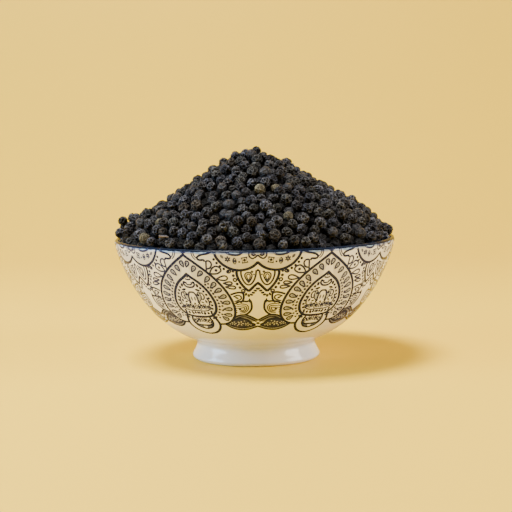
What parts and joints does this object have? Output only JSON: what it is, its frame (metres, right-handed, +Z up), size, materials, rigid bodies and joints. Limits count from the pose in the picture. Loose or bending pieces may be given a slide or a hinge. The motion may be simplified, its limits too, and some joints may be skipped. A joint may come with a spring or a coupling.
{
  "type": "bowl of black peppercorns",
  "caption": "Footed white porcelain bowl with dark scrolled ornament, heaped above its rim with whole black peppercorns.",
  "frame": {"origin": "centre of the ring that the foot stands on", "axes": "+Z up out of the bowl, the side seen in front faces -Y, +X to the right of it"},
  "size_m": [0.13, 0.13, 0.0985],
  "materials": {
    "porcelain": "gloss",
    "peppercorns": "matte"
  },
  "bodies": {
    "root": {"bowl": "porcelain", "peppercorns": "peppercorns"}
  },
  "joints": []
}
